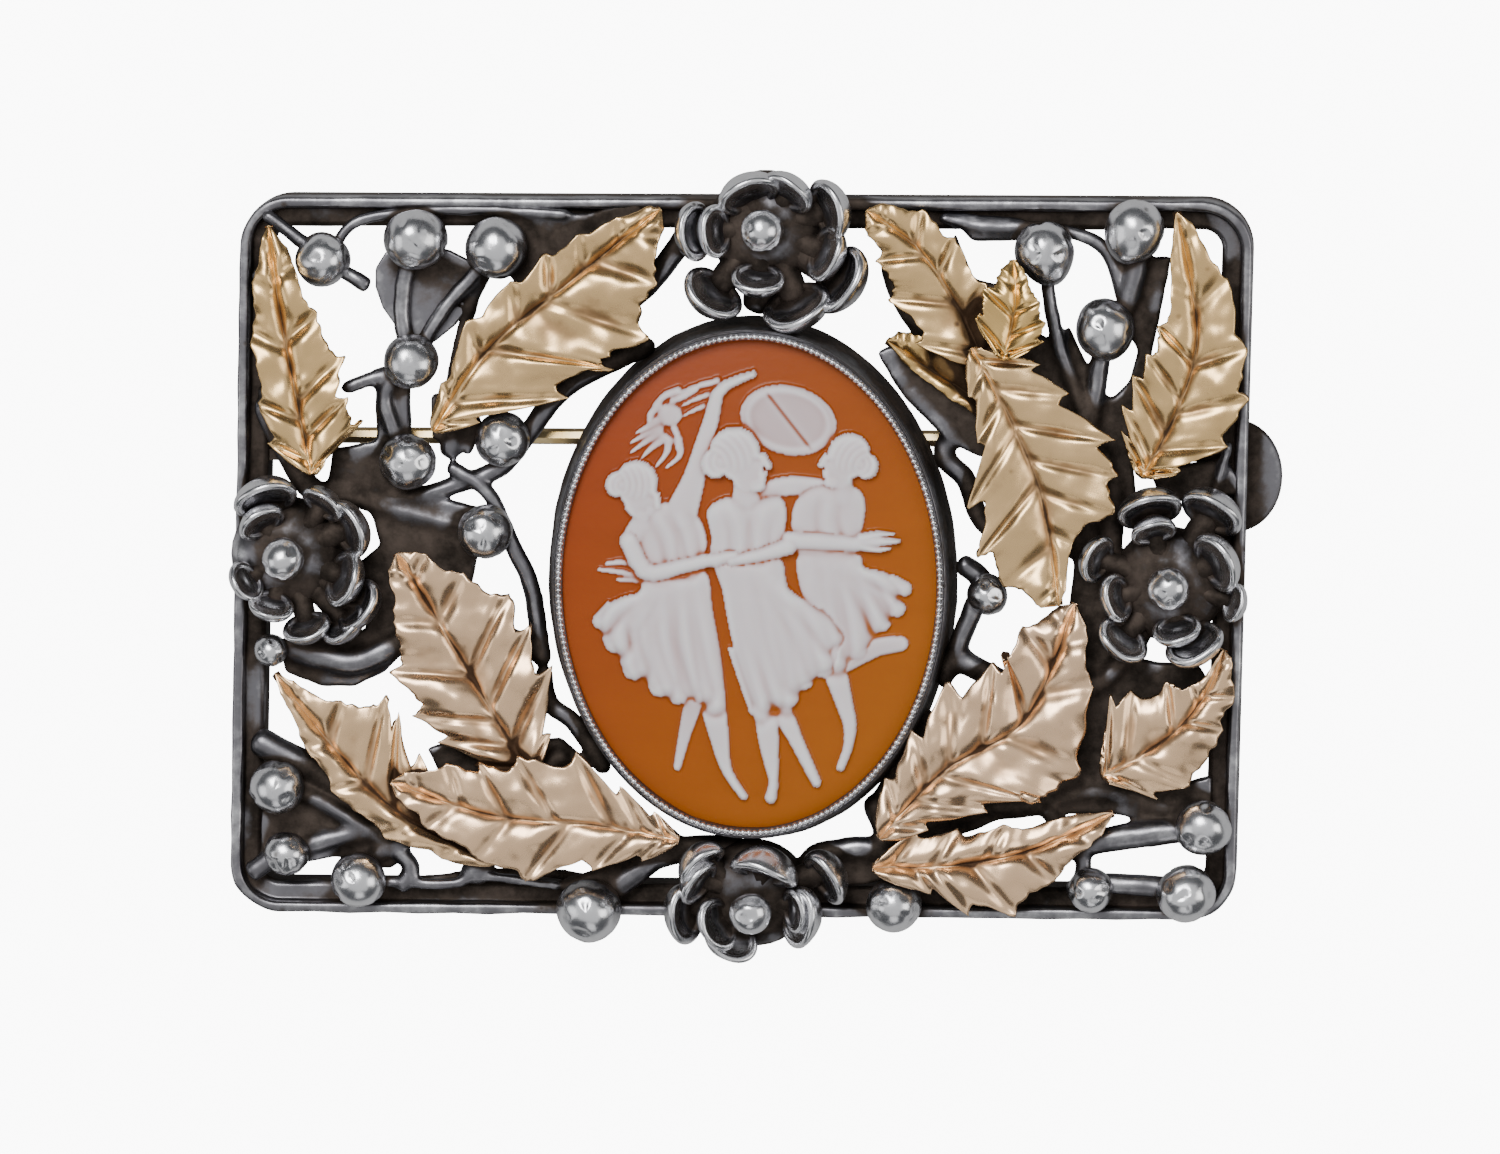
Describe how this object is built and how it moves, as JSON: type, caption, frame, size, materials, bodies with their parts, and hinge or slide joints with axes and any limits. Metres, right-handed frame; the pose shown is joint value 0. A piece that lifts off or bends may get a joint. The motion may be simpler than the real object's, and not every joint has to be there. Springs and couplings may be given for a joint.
{
  "type": "cameo brooch",
  "caption": "Rectangular openwork silver brooch with an oval shell cameo, gold leaves, cast berries and flowers, and a hinged pin.",
  "frame": {"origin": "middle of the brooch's outline, on the plane of its back", "axes": "+Z out of the face, +Y to the top edge, +X to the right seen from the front"},
  "size_m": [0.0564, 0.0426, 0.007],
  "materials": {
    "oxidised_silver": "silver, polished on the high parts and oxidised dark in the recesses",
    "rose_gold": "rosy gold sheet, chased and softly polished",
    "carved_shell": "orange-brown shell with lilac-white carved figures, satin",
    "gilt_metal": "plain gold-coloured wire, smooth"
  },
  "bodies": {
    "brooch": {"cameo": "carved_shell", "hinge_rivet": "gilt_metal", "leaf_bottom_left": "rose_gold", "leaf_bottom_right": "rose_gold", "leaf_by_the_bezel": "rose_gold", "leaf_centre_right": "rose_gold", "leaf_far_left_lower": "rose_gold", "leaf_far_right_lower": "rose_gold", "leaf_left_centre": "rose_gold", "leaf_left_top": "rose_gold", "leaf_right_lower": "rose_gold", "leaf_right_top": "rose_gold", "leaf_top_right": "rose_gold", "leaf_top_right_over": "rose_gold", "leaf_upper_left": "rose_gold", "silver_openwork": "oxidised_silver"},
    "pin": {"pin_stem": "gilt_metal"}
  },
  "joints": [
    {"name": "pin_hinge", "type": "hinge", "parent": "brooch", "child": "pin", "pos_m": [-0.02466, 0.00658, 0.0011], "axis": [0, 1, 0], "range_deg": [0, 85]}
  ]
}
